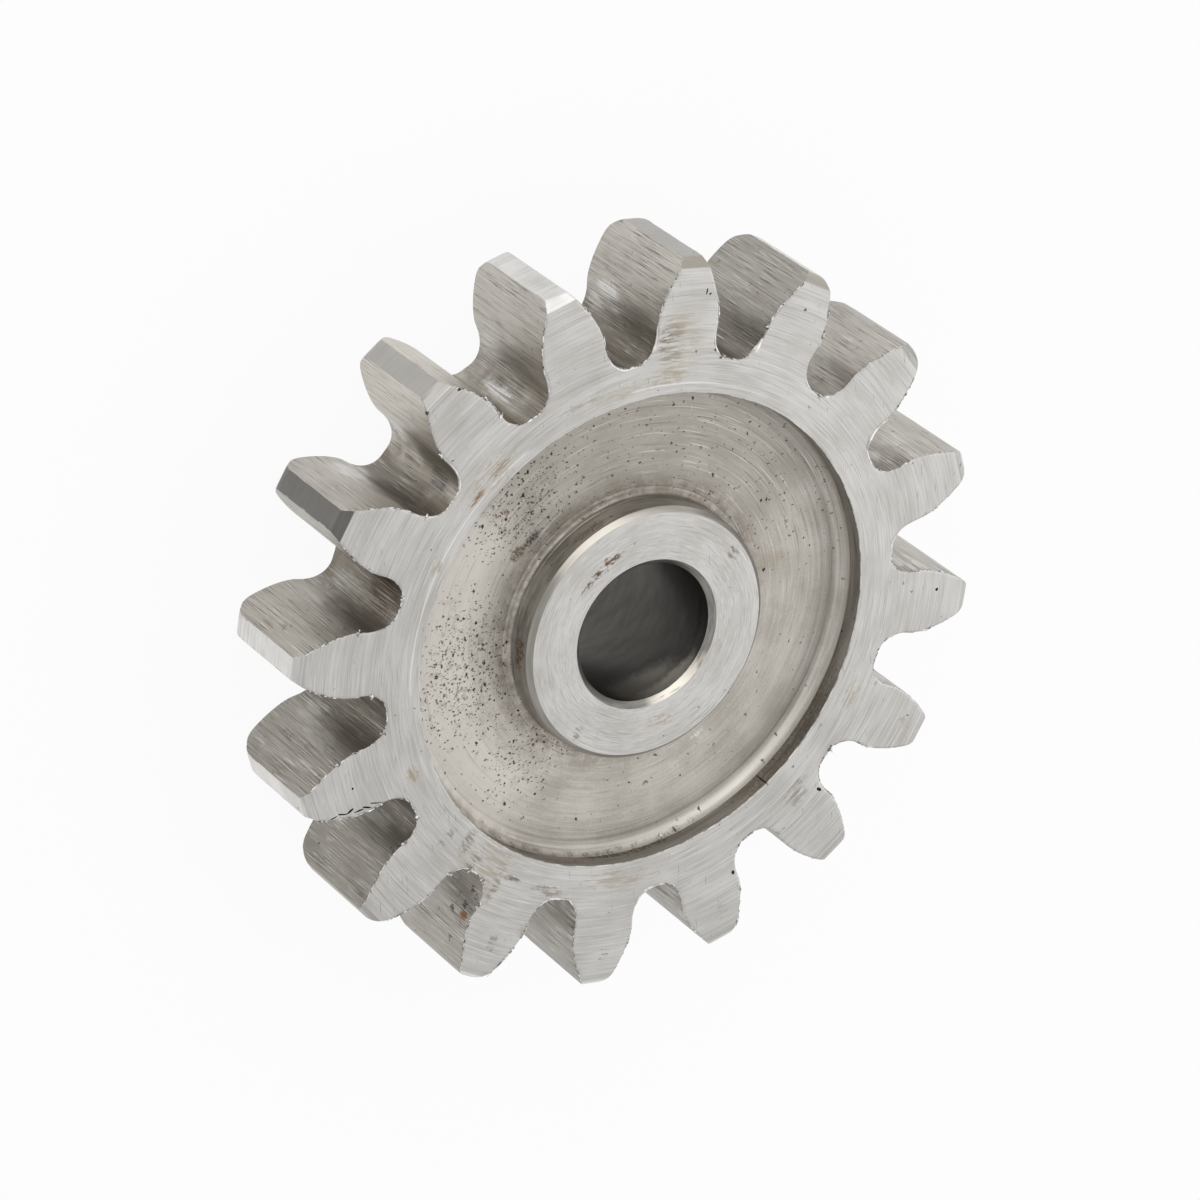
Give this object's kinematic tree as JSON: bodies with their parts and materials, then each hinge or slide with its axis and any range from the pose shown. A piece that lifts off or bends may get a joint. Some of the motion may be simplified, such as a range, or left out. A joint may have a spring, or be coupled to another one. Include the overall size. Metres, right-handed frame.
{
  "type": "pinion gear",
  "caption": "Steel spur pinion gear with involute teeth, a ring-shaped recess, a hub that projects at the back and a plain bore.",
  "frame": {"origin": "centre of the hub's back end face, on the axis of the bore", "axes": "+Z along the bore axis, from the hub's back end towards the recessed front face; a tooth gap is centred on +X"},
  "size_m": [0.0888, 0.0888, 0.025],
  "materials": {
    "turned_steel": "turned and hobbed, unpainted"
  },
  "bodies": {
    "root": {"pinion_gear": "turned_steel"}
  },
  "joints": []
}
